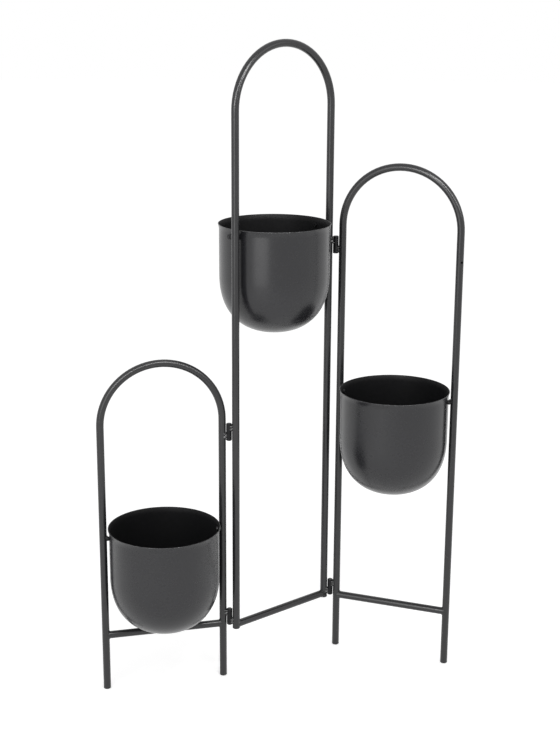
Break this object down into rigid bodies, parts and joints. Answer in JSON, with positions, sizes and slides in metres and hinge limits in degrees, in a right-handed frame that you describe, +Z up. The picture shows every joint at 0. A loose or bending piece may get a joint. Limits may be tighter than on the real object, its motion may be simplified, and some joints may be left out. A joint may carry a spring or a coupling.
{
  "type": "folding metal plant stand",
  "caption": "Folding metal plant stand of arched tube panels on barrel hinges, each with a round-bottomed bowl on pivots between its uprights.",
  "frame": {"origin": "middle of the stand's bounding box in plan, on the floor under the feet, in the pose of the picture", "axes": "+Z up, +X to the right along the plane of the centre panel as seen from the front, +Y to the back of the stand"},
  "size_m": [0.529, 0.3412, 1.0319],
  "materials": {
    "frame_coat": "satin charcoal powder coat",
    "bowl_coat": "satin charcoal powder coat",
    "hinge_coat": "satin charcoal powder coat over welds",
    "bare_steel": "blackened steel",
    "plug_plastic": "matt black",
    "spacer_nylon": "matt black"
  },
  "bodies": {
    "centre_panel": {"centre_arch_tube": "frame_coat", "centre_cross_rail": "frame_coat", "centre_end_plugs": "plug_plastic", "centre_bowl_lugs": "hinge_coat", "centre_pivot_spacers": "spacer_nylon", "centre_pivot_screws": "bare_steel", "left_upper_hinge_top_knuckle": "hinge_coat", "left_lower_hinge_bottom_knuckle": "hinge_coat", "left_lower_hinge_pin": "bare_steel", "right_upper_hinge_top_knuckle": "hinge_coat", "right_lower_hinge_bottom_knuckle": "hinge_coat", "right_lower_hinge_pin": "bare_steel"},
    "left_panel": {"left_arch_tube": "frame_coat", "left_cross_rail": "frame_coat", "left_foot_plugs": "plug_plastic", "left_bowl_lugs": "hinge_coat", "left_pivot_spacers": "spacer_nylon", "left_pivot_screws": "bare_steel", "left_upper_hinge_bottom_knuckle": "hinge_coat", "left_upper_hinge_pin": "bare_steel", "left_lower_hinge_top_knuckle": "hinge_coat"},
    "right_panel": {"right_arch_tube": "frame_coat", "right_cross_rail": "frame_coat", "right_foot_plugs": "plug_plastic", "right_bowl_lugs": "hinge_coat", "right_pivot_spacers": "spacer_nylon", "right_pivot_screws": "bare_steel", "right_upper_hinge_bottom_knuckle": "hinge_coat", "right_upper_hinge_pin": "bare_steel", "right_lower_hinge_top_knuckle": "hinge_coat"},
    "left_planter": {"left_bowl": "bowl_coat"},
    "centre_planter": {"centre_bowl": "bowl_coat"},
    "right_planter": {"right_bowl": "bowl_coat"}
  },
  "joints": [
    {"name": "left_fold", "type": "hinge", "parent": "centre_panel", "child": "left_panel", "pos_m": [-0.0771, 0.03636, 0.107], "axis": [0, 0, 1], "range_deg": [-110, 110]},
    {"name": "right_fold", "type": "hinge", "parent": "centre_panel", "child": "right_panel", "pos_m": [0.13038, 0.01847, 0.107], "axis": [0, 0, 1], "range_deg": [-95, 110]},
    {"name": "left_bowl_swing", "type": "hinge", "parent": "left_panel", "child": "left_planter", "pos_m": [-0.17453, 0.08064, 0.264], "axis": [0.8988, -0.4384, 0], "range_deg": [-30, 30]},
    {"name": "centre_bowl_swing", "type": "hinge", "parent": "centre_panel", "child": "centre_planter", "pos_m": [0.02664, 0.04942, 0.736], "axis": [1, 0, 0], "range_deg": [-30, 30]},
    {"name": "right_bowl_swing", "type": "hinge", "parent": "right_panel", "child": "right_planter", "pos_m": [0.17453, -0.08064, 0.464], "axis": [-0.4848, 0.8746, 0], "range_deg": [-30, 30]}
  ]
}
